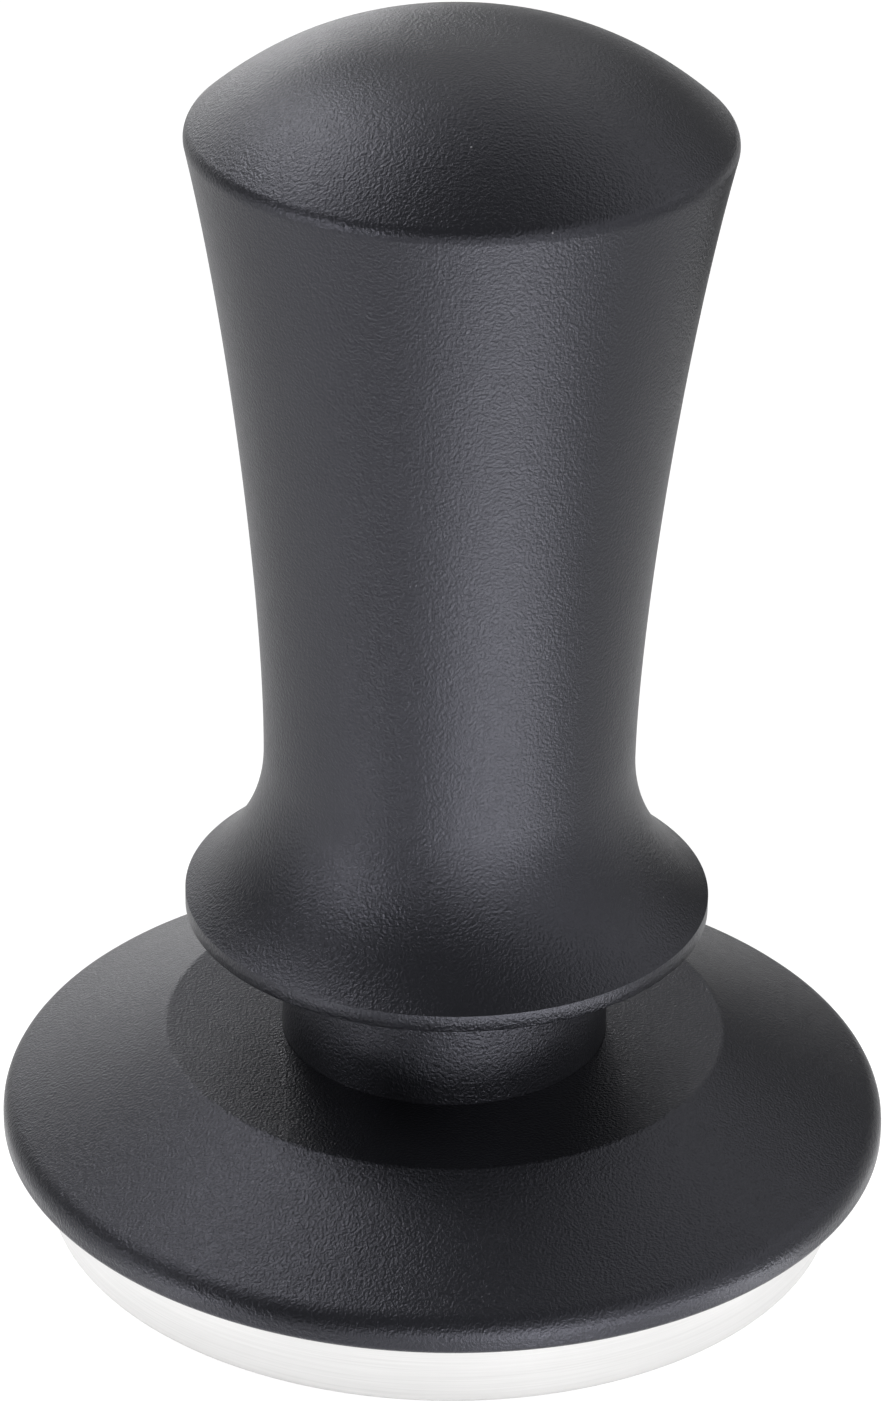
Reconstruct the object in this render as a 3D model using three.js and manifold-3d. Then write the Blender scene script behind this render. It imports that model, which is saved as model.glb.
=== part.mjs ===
// A spring-loaded, self-levelling espresso tamper.
// The stainless base presses the coffee. The levelling collar rests on the basket's rim and slides up the
// spindle as the base goes down into the basket. The handle sinks on the spindle against a calibrated
// spring, so that every tamp gets the same force.
// Millimetres, +Z up, with the origin at the centre of the base's bottom face.
import * as THREE from "three";
import { mergeVertices } from "three/addons/utils/BufferGeometryUtils.js";
import Module from "manifold-3d";

const wasm = await Module();
wasm.setup();

// Driving dimensions: the base and the collar
const BASE_R = 29.175; // a 58.35 mm base, made for 58 mm baskets
const BASE_TOP_Z = 6.6;
const BOSS_R = 10.2;
const BOSS_TOP_Z = 7;
const COLLAR_BOTTOM_Z = 6.2;
const COLLAR_R = 32.5;
const COLLAR_INNER_R = BASE_R + 0.325;
const COLLAR_WALL = 1.9;
const RIM_ROUND = 0.4; // radius of the rim's bottom edge
const RIM_BAND_TOP_Z = 7.3; // where the rim starts to curve into the cone
const CONE_FOOT = [31.7, 8.8]; // radius and height where the collar's cone starts
const PLATEAU_R = 20.5;
const PLATEAU_Z = 13.9;
const PLATE_UNDERSIDE_Z = 10.9;
const POST_R = 11.9;

// Driving dimensions: the handle
const SKIRT_R = 19;
const SKIRT_BOTTOM_Z = 24.07;
const WAIST_R = 13.35;
const WAIST_Z = 36.45;
const FLARE_ARC_R = 13.75; // the concave arc between the skirt and the waist
const SHOULDER_ARC_R = 1.275; // the edge between the side and the dome
const SHOULDER_ARC_AT = [17.68, 83.35];
const SIDE_LEAN = THREE.MathUtils.degToRad(12.8); // how far the side leans out where it meets the shoulder
const SIDE_PULLS = [11.5, 13.4]; // lengths of the side curve's handles, at the waist and at the shoulder
const DOME_ANGLE = THREE.MathUtils.degToRad(48.5); // the slope of the surface where the dome starts
const TOP_Z = 90.87;
const DOME_POWER = 2.488; // the dome falls as this power of the radius, so it is flattest in the middle

// Driving dimensions: the mechanism
const COLLAR_LIFT = 5;
const HANDLE_PRESS = 4.5;
const SPINDLE_R = 5.5;
const STUD_R = 4;
const PISTON_R = 9.9;
const PISTON_Z = [41.9, 44.9];
const HUB_CUP_R = 9;
const HANDLE_BORE_R = 10.7;
const HANDLE_BORE_TOP_Z = 77.1;
const CONTACT = 0.1; // between faces that rest on each other
const GUIDE_GAP = 0.15; // between a shaft and its guide
const WASHER_H = 1;
const BUSH_FLANGE_H = 1;
const PAST_FACE = 1; // how far a cutter reaches past the face that it opens

// Driving dimensions: the springs
const RETURN_SPRING = { coilR: 7.2, wireR: 0.6, turns: 6 };
const MAIN_SPRING = { coilR: 7.6, wireR: 1.1, turns: 7.5 };
const CLOSED_PITCH = 1.08; // pitch of a spring's closed turns, in wire diameters

// Facets round a turned piece, all multiples of 12
const FINE = 60;
const MEDIUM = 48;
const SMALL = 36;
const TINY = 24;

const blackAnodised = new THREE.MeshStandardMaterial({ color: 0x2b2c30, roughness: 0.5, metalness: 0.4 });
const satinSteel = new THREE.MeshStandardMaterial({ color: 0xc9cbcd, roughness: 0.3, metalness: 1 });
const springSteel = new THREE.MeshStandardMaterial({ color: 0x8f9398, roughness: 0.35, metalness: 1 });
const bronze = new THREE.MeshStandardMaterial({ color: 0xa9793f, roughness: 0.4, metalness: 1 });
const whitePolymer = new THREE.MeshStandardMaterial({ color: 0xe6e3da, roughness: 0.6, metalness: 0 });
const blackRubber = new THREE.MeshStandardMaterial({ color: 0x1a1a1b, roughness: 0.85, metalness: 0 });

const tamper = new THREE.Group();

function addNode(name, geometry, material) {
  const mesh = new THREE.Mesh(geometry, material);
  mesh.name = name;
  tamper.add(mesh);
}

const at = (radius, height) => new THREE.Vector2(radius, height);

// A solid of revolution about Z, from a profile that runs anticlockwise in the (radius, height) plane.
function turned(profile, facets) {
  return new THREE.LatheGeometry(profile, facets).rotateX(Math.PI / 2);
}

// The same, from a profile that closes on itself
function turnedRing(corners, facets) {
  return turned([...corners, corners[0]], facets);
}

function washer(innerR, outerR, bottomZ, topZ, facets) {
  return turnedRing([at(innerR, bottomZ), at(outerR, bottomZ), at(outerR, topZ), at(innerR, topZ)], facets);
}

function arc([centreR, centreZ], radius, startAngle, endAngle, steps) {
  return Array.from({ length: steps + 1 }, (_, i) => {
    const angle = THREE.MathUtils.lerp(startAngle, endAngle, i / steps);
    return at(centreR + radius * Math.cos(angle), centreZ + radius * Math.sin(angle));
  });
}

// A straight prism with a regular hexagonal section
function hexPrism(acrossFlats, bottomZ, topZ) {
  const cornerR = acrossFlats / 2 / Math.cos(Math.PI / 6);
  return turned([at(0, bottomZ), at(cornerR, bottomZ), at(cornerR, topZ), at(0, topZ)], 6);
}

function solidOf(geometry) {
  const bare = geometry.clone();
  bare.deleteAttribute("normal");
  bare.deleteAttribute("uv");
  const merged = mergeVertices(bare, 1e-4);
  const mesh = new wasm.Mesh({
    numProp: 3,
    vertProperties: merged.attributes.position.array,
    triVerts: new Uint32Array(merged.index.array),
  });
  return new wasm.Manifold(mesh);
}

function cutFrom(geometry, tools) {
  const left = tools.reduce((solid, tool) => solid.subtract(solidOf(tool)), solidOf(geometry));
  const mesh = left.getMesh();
  return new THREE.BufferGeometry()
    .setAttribute("position", new THREE.BufferAttribute(new Float32Array(mesh.vertProperties), 3))
    .setIndex(new THREE.BufferAttribute(new Uint32Array(mesh.triVerts), 1));
}

// A compression spring's centre line: one close-wound turn at each end, and open turns between them.
class SpringLine extends THREE.Curve {
  constructor({ coilR, wireR, turns }, bottomZ, topZ) {
    super();
    this.coilR = coilR;
    this.turns = turns;
    this.startZ = bottomZ + wireR;
    this.rise = topZ - bottomZ - 2 * wireR;
    this.closedRise = 2 * wireR * CLOSED_PITCH;
    this.openPitch = (this.rise - 2 * this.closedRise) / (turns - 2);
  }

  heightAfter(turn) {
    if (turn < 1) return this.closedRise * turn;
    if (turn > this.turns - 1) return this.rise - this.closedRise * (this.turns - turn);
    return this.closedRise + this.openPitch * (turn - 1);
  }

  getPoint(t) {
    const turn = t * this.turns;
    const angle = turn * 2 * Math.PI;
    const height = this.startZ + this.heightAfter(turn);
    return new THREE.Vector3(this.coilR * Math.cos(angle), this.coilR * Math.sin(angle), height);
  }
}

function spring(measures, bottomZ, topZ) {
  const sides = 8;
  const stepsPerTurn = 14;
  const section = new THREE.Shape(
    Array.from({ length: sides }, (_, i) => {
      const angle = (2 * Math.PI * (i + 0.5)) / sides;
      return new THREE.Vector2(measures.wireR * Math.cos(angle), measures.wireR * Math.sin(angle));
    }),
  );
  return new THREE.ExtrudeGeometry(section, {
    steps: Math.round(stepsPerTurn * measures.turns),
    extrudePath: new SpringLine(measures, bottomZ, topZ),
    bevelEnabled: false,
  });
}

// The base: a steel disc with a blind threaded hole for the spindle
const BASE_EDGE = 0.4;
const STUD_HOLE_Z = 1.8;
addNode(
  "tamper_base",
  turned(
    [
      at(0, 0),
      at(BASE_R - BASE_EDGE, 0),
      at(BASE_R, BASE_EDGE),
      at(BASE_R, BASE_TOP_Z - BASE_EDGE),
      at(BASE_R - BASE_EDGE, BASE_TOP_Z),
      at(BOSS_R, BASE_TOP_Z),
      at(BOSS_R - BASE_EDGE, BOSS_TOP_Z),
      at(STUD_R + CONTACT, BOSS_TOP_Z),
      at(STUD_R + CONTACT, STUD_HOLE_Z),
      at(0, STUD_HOLE_Z),
    ],
    FINE,
  ),
  satinSteel,
);

const LOCK_WASHER_R = 7;
const LOCK_WASHER_Z = [BOSS_TOP_Z + CONTACT, BOSS_TOP_Z + 0.9];
addNode("lock_washer", washer(STUD_R + 2 * CONTACT, LOCK_WASHER_R, ...LOCK_WASHER_Z, TINY), springSteel);

// The spindle: a stud below, a clip groove, the piston that carries the main spring, and a guide rod
// with a hexagon socket in its end.
const CLIP_Z = [31.2, 32.2];
const CLIP_GROOVE_R = 4.6;
const WEAR_RING_Z = [42.7, 44.1];
const WEAR_GROOVE_R = 8.9;
const STUD_BOTTOM_Z = STUD_HOLE_Z + 0.3;
const ROD_TOP_Z = 64;
const ROD_CHAMFER = 0.8;
const SOCKET_ACROSS_FLATS = 5;
const SOCKET_DEPTH = 5;
const spindleBlank = turned(
  [
    at(0, STUD_BOTTOM_Z),
    at(STUD_R, STUD_BOTTOM_Z),
    at(STUD_R, LOCK_WASHER_Z[1] + CONTACT),
    at(SPINDLE_R, LOCK_WASHER_Z[1] + CONTACT),
    at(SPINDLE_R, CLIP_Z[0] - CONTACT),
    at(CLIP_GROOVE_R, CLIP_Z[0] - CONTACT),
    at(CLIP_GROOVE_R, CLIP_Z[1] + CONTACT),
    at(SPINDLE_R, CLIP_Z[1] + CONTACT),
    at(SPINDLE_R, PISTON_Z[0]),
    at(PISTON_R, PISTON_Z[0]),
    at(PISTON_R, WEAR_RING_Z[0] - CONTACT),
    at(WEAR_GROOVE_R, WEAR_RING_Z[0] - CONTACT),
    at(WEAR_GROOVE_R, WEAR_RING_Z[1] + CONTACT),
    at(PISTON_R, WEAR_RING_Z[1] + CONTACT),
    at(PISTON_R, PISTON_Z[1]),
    at(SPINDLE_R, PISTON_Z[1]),
    at(SPINDLE_R, ROD_TOP_Z - ROD_CHAMFER),
    at(SPINDLE_R - ROD_CHAMFER, ROD_TOP_Z),
    at(0, ROD_TOP_Z),
  ],
  SMALL,
);
const driveSocket = hexPrism(SOCKET_ACROSS_FLATS, ROD_TOP_Z - SOCKET_DEPTH, ROD_TOP_Z + PAST_FACE);
addNode("spindle", cutFrom(spindleBlank, [driveSocket]), satinSteel);

const wearRing = washer(WEAR_GROOVE_R + CONTACT, HANDLE_BORE_R - GUIDE_GAP, ...WEAR_RING_Z, SMALL);
addNode("piston_wear_ring", wearRing, whitePolymer);

// The clip that holds the collar's spring down on the spindle, an open ring pushed in from one side
const CLIP_OUTER_R = 8.2;
const CLIP_MOUTH = THREE.MathUtils.degToRad(70); // the angle that the clip leaves open
function clipGeometry() {
  const innerR = CLIP_GROOVE_R + CONTACT;
  const shape = new THREE.Shape();
  shape.absarc(0, 0, CLIP_OUTER_R, CLIP_MOUTH / 2, 2 * Math.PI - CLIP_MOUTH / 2, false);
  shape.absarc(0, 0, innerR, 2 * Math.PI - CLIP_MOUTH / 2, CLIP_MOUTH / 2, true);
  const depth = CLIP_Z[1] - CLIP_Z[0];
  const options = { depth, bevelEnabled: false, curveSegments: TINY };
  return new THREE.ExtrudeGeometry(shape, options).translate(0, 0, CLIP_Z[0]);
}
addNode("retaining_clip", clipGeometry(), springSteel);

// The rubber ring that the collar's hub lands on
const HUB_BOTTOM_Z = 9;
function bumperGeometry() {
  const cordR = (HUB_BOTTOM_Z - BOSS_TOP_Z) / 2 - CONTACT;
  const washerGap = 0.3;
  const centre = [LOCK_WASHER_R + washerGap + cordR, BOSS_TOP_Z + CONTACT + cordR];
  return turned(arc(centre, cordR, 0, 2 * Math.PI, 10), TINY);
}
addNode("bumper_ring", bumperGeometry(), blackRubber);

// The levelling collar: a shallow cone with a rounded rim, hollow underneath round the base
const HUB_SCREW_COUNT = 4;
const HUB_SCREW_RING_R = 14.9;
const HUB_SCREW_R = 1.2;
const HUB_SCREW_HEAD_R = 2.2;
const HUB_SCREW_HEAD_H = 1.1;
const HUB_SCREW_TIP_Z = 12.9;
const HUB_FLANGE_R = 17.5;
const HUB_FLANGE_TOP_Z = PLATE_UNDERSIDE_Z - CONTACT;

// A countersunk screw pointing up, or with a clearance added, the hole for it
function countersunk(clearance, tipZ, headZ) {
  const headR = HUB_SCREW_HEAD_R + clearance;
  const shankR = HUB_SCREW_R + clearance;
  const coneTopZ = HUB_BOTTOM_Z + HUB_SCREW_HEAD_H;
  return turned([at(0, headZ), at(headR, headZ), at(shankR, coneTopZ), at(shankR, tipZ), at(0, tipZ)], TINY);
}

function roundHubScrews(makeGeometry) {
  return Array.from({ length: HUB_SCREW_COUNT }, (_, i) => {
    const angle = (2 * Math.PI * (i + 0.5)) / HUB_SCREW_COUNT;
    const [x, y] = [HUB_SCREW_RING_R * Math.cos(angle), HUB_SCREW_RING_R * Math.sin(angle)];
    return makeGeometry().translate(x, y, 0);
  });
}

function collarGeometry() {
  const [footR, footZ] = CONE_FOOT;
  const slope = (PLATEAU_Z - footZ) / (footR - PLATEAU_R);
  const roofZ = footZ + (footR - COLLAR_INNER_R) * slope - COLLAR_WALL;
  const roofEndR = COLLAR_INNER_R - (PLATE_UNDERSIDE_Z - roofZ) / slope;
  const boreR = POST_R + GUIDE_GAP;
  const edge = 0.35;
  const roundCentre = [COLLAR_R - RIM_ROUND, COLLAR_BOTTOM_Z + RIM_ROUND];
  const rimTop = new THREE.QuadraticBezierCurve(
    at(COLLAR_R, RIM_BAND_TOP_Z),
    at(COLLAR_R, footZ - (COLLAR_R - footR) * slope),
    at(footR, footZ),
  );
  const blank = turnedRing(
    [
      at(COLLAR_INNER_R, COLLAR_BOTTOM_Z),
      ...arc(roundCentre, RIM_ROUND, -Math.PI / 2, 0, 2),
      ...rimTop.getPoints(3),
      at(PLATEAU_R + edge, PLATEAU_Z - edge * slope),
      at(PLATEAU_R - edge, PLATEAU_Z),
      at(boreR, PLATEAU_Z),
      at(boreR, PLATE_UNDERSIDE_Z),
      at(roofEndR, PLATE_UNDERSIDE_Z),
      at(COLLAR_INNER_R, roofZ),
    ],
    FINE,
  );
  const tapped = () => countersunk(GUIDE_GAP, HUB_SCREW_TIP_Z + 2 * CONTACT, HUB_BOTTOM_Z - PAST_FACE);
  return cutFrom(blank, roundHubScrews(tapped));
}
addNode("levelling_collar", collarGeometry(), blackAnodised);

// The collar's hub: the post that shows below the handle. It is a cup round the spindle, open at the top,
// with a flange that the collar is screwed to from below.
const HUB_TOP_Z = 25;
const HUB_FLOOR_Z = 13.7;
const BUSH_R = 7.4;
function hubGeometry() {
  const edge = 0.3;
  const blank = turnedRing(
    [
      at(BUSH_R + CONTACT, HUB_BOTTOM_Z),
      at(HUB_FLANGE_R, HUB_BOTTOM_Z),
      at(HUB_FLANGE_R, HUB_FLANGE_TOP_Z),
      at(POST_R, HUB_FLANGE_TOP_Z),
      at(POST_R, HUB_TOP_Z - edge),
      at(POST_R - edge, HUB_TOP_Z),
      at(HUB_CUP_R + edge, HUB_TOP_Z),
      at(HUB_CUP_R, HUB_TOP_Z - edge),
      at(HUB_CUP_R, HUB_FLOOR_Z),
      at(BUSH_R + CONTACT, HUB_FLOOR_Z),
    ],
    MEDIUM,
  );
  const through = () => countersunk(GUIDE_GAP, HUB_FLANGE_TOP_Z + PAST_FACE, HUB_BOTTOM_Z);
  return cutFrom(blank, roundHubScrews(through));
}
addNode("collar_hub", hubGeometry(), blackAnodised);

const hubScrews = roundHubScrews(() => {
  const headZ = HUB_BOTTOM_Z + CONTACT;
  const socketAcrossFlats = 1.5;
  const socketDepth = 0.8;
  const socket = hexPrism(socketAcrossFlats, headZ - PAST_FACE, headZ + socketDepth);
  return cutFrom(countersunk(0, HUB_SCREW_TIP_Z, headZ), [socket]);
});
hubScrews.forEach((geometry, i) => addNode(`hub_screw_${i + 1}`, geometry, springSteel));

// The flanged bush that guides the collar's hub on the spindle, and carries the return spring
const BUSH_BORE_R = SPINDLE_R + GUIDE_GAP;
const HUB_BUSH_FLANGE_R = HUB_CUP_R - 2 * CONTACT;
const HUB_BUSH_FLANGE_Z = [HUB_FLOOR_Z + CONTACT, HUB_FLOOR_Z + CONTACT + BUSH_FLANGE_H];
addNode(
  "hub_guide_bush",
  turnedRing(
    [
      at(BUSH_BORE_R, HUB_BOTTOM_Z + 2 * CONTACT),
      at(BUSH_R, HUB_BOTTOM_Z + 2 * CONTACT),
      at(BUSH_R, HUB_BUSH_FLANGE_Z[0]),
      at(HUB_BUSH_FLANGE_R, HUB_BUSH_FLANGE_Z[0]),
      at(HUB_BUSH_FLANGE_R, HUB_BUSH_FLANGE_Z[1]),
      at(BUSH_BORE_R, HUB_BUSH_FLANGE_Z[1]),
    ],
    SMALL,
  ),
  bronze,
);

const RETURN_WASHER_R = 8.3;
const RETURN_WASHER_Z = [CLIP_Z[0] - CONTACT - WASHER_H, CLIP_Z[0] - CONTACT];
const returnWasher = washer(BUSH_BORE_R, RETURN_WASHER_R, ...RETURN_WASHER_Z, TINY);
addNode("return_spring_washer", returnWasher, satinSteel);
const returnSpringEnds = [HUB_BUSH_FLANGE_Z[1] + CONTACT, RETURN_WASHER_Z[0] - CONTACT];
addNode("collar_return_spring", spring(RETURN_SPRING, ...returnSpringEnds), springSteel);

// The main spring stands on the piston and pushes the handle up.
const THRUST_WASHER_R = 9.6;
const THRUST_WASHER_Z = [PISTON_Z[1] + CONTACT, PISTON_Z[1] + CONTACT + WASHER_H];
addNode("thrust_washer", washer(BUSH_BORE_R, THRUST_WASHER_R, ...THRUST_WASHER_Z, SMALL), satinSteel);
const UPPER_SEAT_R = 9.8;
const UPPER_SEAT_Z = [74, 75.6];
const mainSpringEnds = [THRUST_WASHER_Z[1] + CONTACT, UPPER_SEAT_Z[0] - CONTACT];
addNode("main_spring", spring(MAIN_SPRING, ...mainSpringEnds), springSteel);

// Everything below moves with the handle. The upper seat has a spigot that centres the spring.
const SPIGOT_R = 6.1;
const SPIGOT_BOTTOM_Z = 71.5;
const SPIGOT_CHAMFER = 0.6;
addNode(
  "upper_spring_seat",
  turned(
    [
      at(0, SPIGOT_BOTTOM_Z),
      at(SPIGOT_R - SPIGOT_CHAMFER, SPIGOT_BOTTOM_Z),
      at(SPIGOT_R, SPIGOT_BOTTOM_Z + SPIGOT_CHAMFER),
      at(SPIGOT_R, UPPER_SEAT_Z[0]),
      at(UPPER_SEAT_R, UPPER_SEAT_Z[0]),
      at(UPPER_SEAT_R, UPPER_SEAT_Z[1]),
      at(0, UPPER_SEAT_Z[1]),
    ],
    SMALL,
  ),
  satinSteel,
);

// Shims that set the spring's preload
const SHIM_COUNT = 2;
const SHIM_BORE_R = 4;
const SHIM_PITCH = (HANDLE_BORE_TOP_Z - CONTACT - UPPER_SEAT_Z[1]) / SHIM_COUNT;
for (let i = 0; i < SHIM_COUNT; i++) {
  const bottomZ = UPPER_SEAT_Z[1] + CONTACT + i * SHIM_PITCH;
  const shim = washer(SHIM_BORE_R, UPPER_SEAT_R, bottomZ, bottomZ + SHIM_PITCH - CONTACT, TINY);
  addNode(`preload_shim_${i + 1}`, shim, springSteel);
}

// The retaining nut, screwed into the handle from below, with two slots for a pin spanner. It holds the
// guide bush, whose flange stops the handle against the piston.
const NUT_Z = [37.4, 41];
const NUT_SLOT_W = 2.4;
const NUT_SLOT_DEPTH = 1.6;
function nutGeometry() {
  const blank = washer(BUSH_R + 2 * CONTACT, HANDLE_BORE_R - GUIDE_GAP, ...NUT_Z, SMALL);
  const slot = new THREE.BoxGeometry(4 * HANDLE_BORE_R, NUT_SLOT_W, 2 * NUT_SLOT_DEPTH);
  return cutFrom(blank, [slot.translate(0, 0, NUT_Z[0])]);
}
addNode("retaining_nut", nutGeometry(), satinSteel);
addNode(
  "handle_guide_bush",
  turnedRing(
    [
      at(BUSH_BORE_R, NUT_Z[0] + 2 * CONTACT),
      at(BUSH_R, NUT_Z[0] + 2 * CONTACT),
      at(BUSH_R, NUT_Z[1] + CONTACT),
      at(PISTON_R, NUT_Z[1] + CONTACT),
      at(PISTON_R, PISTON_Z[0] - CONTACT),
      at(BUSH_BORE_R, PISTON_Z[0] - CONTACT),
    ],
    SMALL,
  ),
  bronze,
);

// The seal that keeps ground coffee out of the handle
const SEAL_Z = [27.2, 29.6];
const SEAL_R = 13.2;
addNode("dust_seal", washer(POST_R + CONTACT, SEAL_R, ...SEAL_Z, MEDIUM), whitePolymer);

// The handle's outer side, from the bottom edge of its skirt up to the centre of its dome
function handleOutline() {
  const flareCentre = [WAIST_R + FLARE_ARC_R, WAIST_Z];
  const skirtAngle = Math.acos((flareCentre[0] - SKIRT_R) / FLARE_ARC_R);
  const flare = arc(flareCentre, FLARE_ARC_R, Math.PI + skirtAngle, Math.PI, 9);

  const [edgeR, edgeZ] = SHOULDER_ARC_AT;
  const shoulder = arc(SHOULDER_ARC_AT, SHOULDER_ARC_R, -SIDE_LEAN, DOME_ANGLE, 5);
  const sideTop = shoulder[0];
  const side = new THREE.CubicBezierCurve(
    at(WAIST_R, WAIST_Z),
    at(WAIST_R, WAIST_Z + SIDE_PULLS[0]),
    at(sideTop.x - SIDE_PULLS[1] * Math.sin(SIDE_LEAN), sideTop.y - SIDE_PULLS[1] * Math.cos(SIDE_LEAN)),
    sideTop,
  ).getPoints(12);

  const domeR = edgeR + SHOULDER_ARC_R * Math.cos(DOME_ANGLE);
  const domeFall = TOP_Z - (edgeZ + SHOULDER_ARC_R * Math.sin(DOME_ANGLE));
  const domeRings = 8;
  const dome = Array.from({ length: domeRings }, (_, i) => {
    const share = 1 - (i + 1) / domeRings;
    return at(domeR * share, TOP_Z - domeFall * share ** DOME_POWER);
  });
  return [at(SKIRT_R, SKIRT_BOTTOM_Z), ...flare, ...side.slice(1, -1), ...shoulder, ...dome];
}

// The handle's inside, from its closed top down to its mouth
function handleBore() {
  const mouthR = POST_R + 2 * GUIDE_GAP;
  const headroom = 0.4;
  const mouthTopZ = HUB_TOP_Z + COLLAR_LIFT + HANDLE_PRESS + headroom;
  const grooveR = SEAL_R + CONTACT;
  const chamfer = 0.4;
  return [
    at(0, HANDLE_BORE_TOP_Z),
    at(HANDLE_BORE_R, HANDLE_BORE_TOP_Z),
    at(HANDLE_BORE_R, mouthTopZ),
    at(mouthR, mouthTopZ),
    at(mouthR, SEAL_Z[1] + CONTACT),
    at(grooveR, SEAL_Z[1] + CONTACT),
    at(grooveR, SEAL_Z[0] - CONTACT),
    at(mouthR, SEAL_Z[0] - CONTACT),
    at(mouthR, SKIRT_BOTTOM_Z + chamfer),
    at(mouthR + chamfer, SKIRT_BOTTOM_Z),
  ];
}
addNode("handle_shell", turned([...handleBore(), ...handleOutline()], MEDIUM), blackAnodised);

export default tamper;
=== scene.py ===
"""A spring-loaded, self-levelling espresso tamper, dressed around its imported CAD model.

Nearly every piece of the tamper is turned about the Z axis, so most meshes here are made from an outline
in the (radius, height) half-plane. Lengths are in millimetres until a mesh is made.
"""

import math

import bmesh
import bpy
from mathutils import Matrix, Vector


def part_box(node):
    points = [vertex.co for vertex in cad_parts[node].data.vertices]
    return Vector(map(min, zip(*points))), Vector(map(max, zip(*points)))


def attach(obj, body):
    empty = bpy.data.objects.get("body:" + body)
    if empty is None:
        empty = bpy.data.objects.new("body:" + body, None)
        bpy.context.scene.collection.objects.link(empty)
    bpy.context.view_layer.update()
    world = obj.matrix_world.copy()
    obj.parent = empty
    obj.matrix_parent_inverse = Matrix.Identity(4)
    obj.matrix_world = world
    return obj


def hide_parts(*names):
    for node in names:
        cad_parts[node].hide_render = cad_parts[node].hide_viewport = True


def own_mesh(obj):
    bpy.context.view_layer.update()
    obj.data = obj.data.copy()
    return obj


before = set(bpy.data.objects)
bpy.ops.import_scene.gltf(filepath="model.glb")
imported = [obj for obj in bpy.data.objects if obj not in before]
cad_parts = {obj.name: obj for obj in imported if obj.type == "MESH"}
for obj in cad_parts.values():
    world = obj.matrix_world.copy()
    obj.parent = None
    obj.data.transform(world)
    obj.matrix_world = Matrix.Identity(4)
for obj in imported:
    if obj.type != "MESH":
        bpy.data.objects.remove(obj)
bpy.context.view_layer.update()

MM = 0.001
GAP = 0.1  # between faces that rest on each other
ON_AXIS = 1e-6  # an outline point with a smaller radius than this is on the axis
SMOOTH_ANGLE = 35  # degrees: an edge that turns more than this stays sharp
SEGMENTS = 192  # round a hidden piece
SEEN_SEGMENTS = 256  # round a piece that shows
SCREW_SEGMENTS = 48
WASHER_FILLET = 0.12
THIN_FILLET = 0.05


def box_mm(node):
    """The widest radius, lowest height and highest height of a turned CAD node, in millimetres."""
    low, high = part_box(node)
    return high.x / MM, low.z / MM, high.z / MM


# ---------------------------------------------------------------------------------------------- outlines

HEXAGON = "hexagon"  # marks an outline point whose ring is a hexagon, with the radius to its flats


def arc(centre, radius, start, end, steps):
    """Points of a circular arc, both ends included. Angles are in degrees."""
    points = []
    for i in range(steps + 1):
        angle = math.radians(start + (end - start) * i / steps)
        points.append((centre[0] + radius * math.cos(angle), centre[1] + radius * math.sin(angle)))
    return points


def bezier(a, b, c, d, steps):
    """Points of a cubic Bezier curve, both ends included."""
    points = []
    for i in range(steps + 1):
        t = i / steps
        u = 1 - t
        weights = (u**3, 3 * u * u * t, 3 * u * t * t, t**3)
        points.append(tuple(sum(w * p[k] for w, p in zip(weights, (a, b, c, d))) for k in (0, 1)))
    return points


def rungs(radius, start, end, step=0.1):
    """Points up or down a straight wall, close enough together to be cut with a thread."""
    count = max(1, round(abs(end - start) / step))
    return [(radius, start + (end - start) * i / count) for i in range(count + 1)]


def rounded(corners, steps=6, guard=0.06):
    """An outline from corners (radius, height, fillet). A corner with no fillet stays sharp.

    A guard point past each end of a fillet keeps its smooth shading from bleeding into the flat beside it.
    """
    points = []
    count = len(corners)
    for i, (r, z, fillet) in enumerate(corners):
        if fillet == 0:
            points.append((r, z))
            continue
        here = Vector((r, z))
        back = (Vector(corners[i - 1][:2]) - here).normalized()
        ahead = (Vector(corners[(i + 1) % count][:2]) - here).normalized()
        half = back.angle(ahead) / 2
        reach = fillet / math.tan(half)
        centre = here + (back + ahead).normalized() * (fillet / math.sin(half))
        first = here + back * reach - centre
        last = here + ahead * reach - centre
        sweep = math.atan2(first.x * last.y - first.y * last.x, first.dot(last))
        points.append(tuple(here + back * (reach + guard)))
        for k in range(steps + 1):
            points.append(tuple(centre + Matrix.Rotation(sweep * k / steps, 2) @ first))
        points.append(tuple(here + ahead * (reach + guard)))
    return points


def ring_outline(inner_r, outer_r, bottom, top, fillet):
    """The outline of a washer with eased edges."""
    corners = [(inner_r, bottom), (outer_r, bottom), (outer_r, top), (inner_r, top)]
    return rounded([(r, z, fillet) for r, z in corners], steps=3, guard=0.03)


# ------------------------------------------------------------------------------------------------ meshes


def finish_mesh(name, mesh, smooth_angle=SMOOTH_ANGLE):
    """Shades a mesh smooth between its sharp edges, and puts it in the scene."""
    mesh.validate()
    mesh.shade_smooth()
    mesh.set_sharp_from_angle(angle=math.radians(smooth_angle))
    piece = bpy.data.objects.new(name, mesh)
    bpy.context.scene.collection.objects.link(piece)
    return piece


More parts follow.
